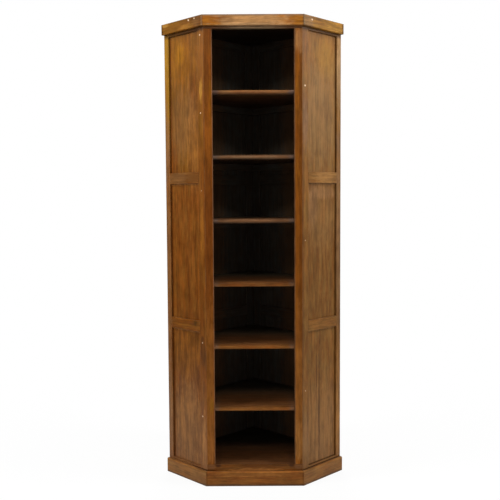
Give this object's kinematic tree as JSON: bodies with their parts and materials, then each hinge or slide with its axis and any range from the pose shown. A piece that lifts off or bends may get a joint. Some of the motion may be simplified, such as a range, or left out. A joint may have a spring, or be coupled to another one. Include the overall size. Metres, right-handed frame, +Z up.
{
  "type": "corner bookcase",
  "caption": "Tall open corner bookcase with a five-sided plan: framed and panelled side and back walls, fixed shelves, deck, fascia and plinth.",
  "frame": {"origin": "middle of the bounding box on the floor, under the middle of the case", "axes": "+Z up; the open front faces -Y; +X to the right of someone who faces the open front; the rear corner points to +Y"},
  "size_m": [0.8, 0.5878, 2],
  "materials": {
    "frame_wood": "golden brown stained hardwood, satin varnish",
    "panel_wood": "golden brown stained hardwood panels, satin varnish",
    "face_wood": "red brown stained hardwood, satin varnish",
    "trim_wood": "golden brown stained hardwood trim, satin varnish",
    "shelf_wood": "brown stained hardwood boards, satin varnish"
  },
  "bodies": {
    "root": {"side_left_front_stile": "frame_wood", "side_left_rear_stile": "frame_wood", "side_left_bottom_rail": "frame_wood", "side_left_lower_mid_rail": "frame_wood", "side_left_upper_mid_rail": "frame_wood", "side_left_top_rail": "frame_wood", "side_left_lower_panel": "panel_wood", "side_left_middle_panel": "panel_wood", "side_left_upper_panel": "panel_wood", "side_right_front_stile": "frame_wood", "side_right_rear_stile": "frame_wood", "side_right_bottom_rail": "frame_wood", "side_right_lower_mid_rail": "frame_wood", "side_right_upper_mid_rail": "frame_wood", "side_right_top_rail": "frame_wood", "side_right_lower_panel": "panel_wood", "side_right_middle_panel": "panel_wood", "side_right_upper_panel": "panel_wood", "back_left_outer_stile": "frame_wood", "back_left_corner_stile": "frame_wood", "back_left_bottom_rail": "frame_wood", "back_left_lower_mid_rail": "frame_wood", "back_left_upper_mid_rail": "frame_wood", "back_left_top_rail": "frame_wood", "back_left_lower_panel": "panel_wood", "back_left_middle_panel": "panel_wood", "back_left_upper_panel": "panel_wood", "back_right_outer_stile": "frame_wood", "back_right_corner_stile": "frame_wood", "back_right_bottom_rail": "frame_wood", "back_right_lower_mid_rail": "frame_wood", "back_right_upper_mid_rail": "frame_wood", "back_right_top_rail": "frame_wood", "back_right_lower_panel": "panel_wood", "back_right_middle_panel": "panel_wood", "back_right_upper_panel": "panel_wood", "face_stile_left": "face_wood", "face_stile_right": "face_wood", "face_top_rail": "face_wood", "base_rail": "face_wood", "fascia_front": "trim_wood", "fascia_left": "trim_wood", "fascia_right": "trim_wood", "plinth_front": "trim_wood", "plinth_left": "trim_wood", "plinth_right": "trim_wood", "top_board": "shelf_wood", "deck": "shelf_wood", "shelf_1": "shelf_wood", "shelf_2": "shelf_wood", "shelf_3": "shelf_wood", "shelf_4": "shelf_wood", "shelf_5": "shelf_wood", "shelf_6": "shelf_wood", "cleat_1": "frame_wood", "cleat_2": "frame_wood", "cleat_3": "frame_wood", "cleat_4": "frame_wood", "cleat_5": "frame_wood", "cleat_6": "frame_wood"}
  },
  "joints": []
}
